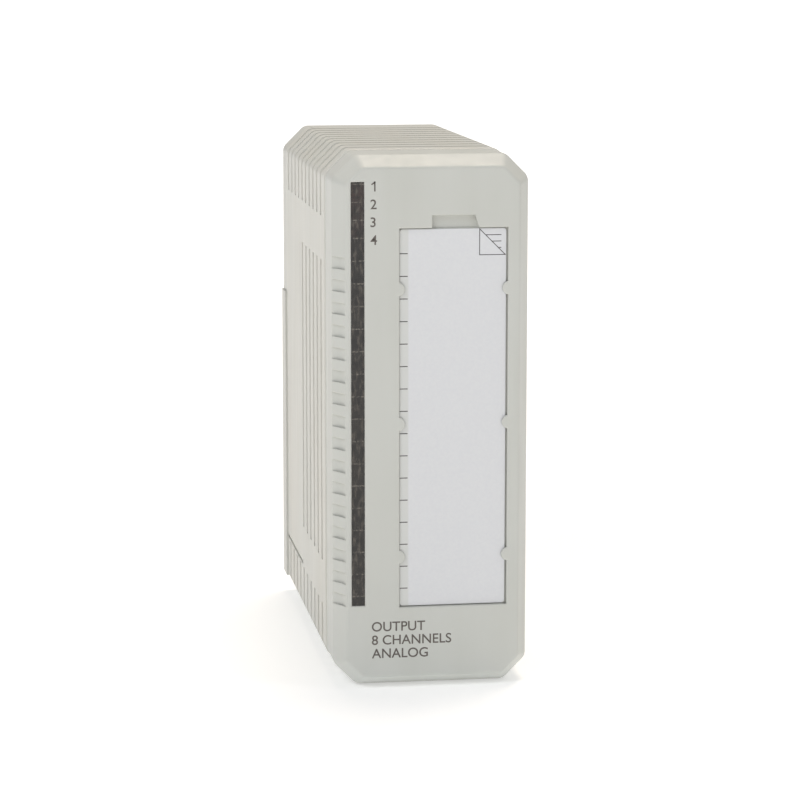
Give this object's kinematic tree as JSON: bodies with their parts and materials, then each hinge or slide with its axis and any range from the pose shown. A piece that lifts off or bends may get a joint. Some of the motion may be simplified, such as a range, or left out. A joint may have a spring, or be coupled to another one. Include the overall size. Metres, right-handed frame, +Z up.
{
  "type": "plc i/o module",
  "caption": "Upright plug-in analogue output module with bevelled front cover, indicator window, marking card, ribbed housing and rear connector.",
  "frame": {"origin": "middle of the bottom of the whole module", "axes": "+X to the right seen from the front, +Y from the front face to the rear connector, +Z up"},
  "size_m": [0.045, 0.111, 0.119],
  "materials": {
    "cover_plastic": "moulded ABS, fine texture, light warm grey",
    "housing_plastic": "moulded ABS, fine texture, light grey",
    "rear_plastic": "moulded ABS, light grey",
    "smoked_window": "smoked polycarbonate, semi-gloss",
    "card": "white card, smooth",
    "clear_guide": "clear acrylic, polished",
    "connector_plastic": "glass-filled polyester, grey",
    "socket_plastic": "black nylon",
    "header_plastic": "black nylon",
    "contact_brass": "gold flashed",
    "spacer_brass": "nickel-plated",
    "screw_steel": "zinc plated",
    "circuit_board": "epoxy glass board under green solder mask",
    "led_lens": "clear epoxy chip lamps",
    "ferrite": "sintered ferrite, dark grey",
    "winding_tape": "amber polyester tape",
    "can_sleeve": "dark blue shrink sleeve",
    "chip_epoxy": "moulded black epoxy",
    "crystal_can": "nickel-plated can",
    "spreader_aluminium": "bare rolled sheet"
  },
  "bodies": {
    "housing": {"housing_sleeve": "housing_plastic", "rear_cover": "rear_plastic", "rear_cover_screws": "screw_steel", "rear_connector": "connector_plastic", "rear_contacts": "contact_brass", "rear_connector_screws": "screw_steel", "coding_socket_lower": "socket_plastic", "coding_socket_upper": "socket_plastic", "main_board": "circuit_board", "output_board": "circuit_board", "connector_board": "circuit_board", "indicator_board": "circuit_board", "board_spacers": "spacer_brass", "board_screws": "screw_steel", "connector_board_screws": "screw_steel", "main_board_header": "header_plastic", "output_board_header": "header_plastic", "indicator_board_header": "header_plastic", "status_leds": "led_lens", "transformer_core": "ferrite", "transformer_bobbin": "header_plastic", "transformer_winding": "winding_tape", "filter_capacitors": "can_sleeve", "power_choke": "ferrite", "bus_controller": "chip_epoxy", "clock_crystal": "crystal_can", "converter_chips": "chip_epoxy", "optocouplers": "chip_epoxy", "output_drivers": "chip_epoxy", "sense_resistors": "chip_epoxy", "heat_spreader": "spreader_aluminium"},
    "front_cover_body": {"front_cover": "cover_plastic", "led_window": "smoked_window", "label_card": "card", "light_guide": "clear_guide"}
  },
  "joints": [
    {"name": "cover_pull", "type": "slide", "parent": "housing", "child": "front_cover_body", "axis": [0, -1, 0], "range_m": [0, 0.03]}
  ]
}
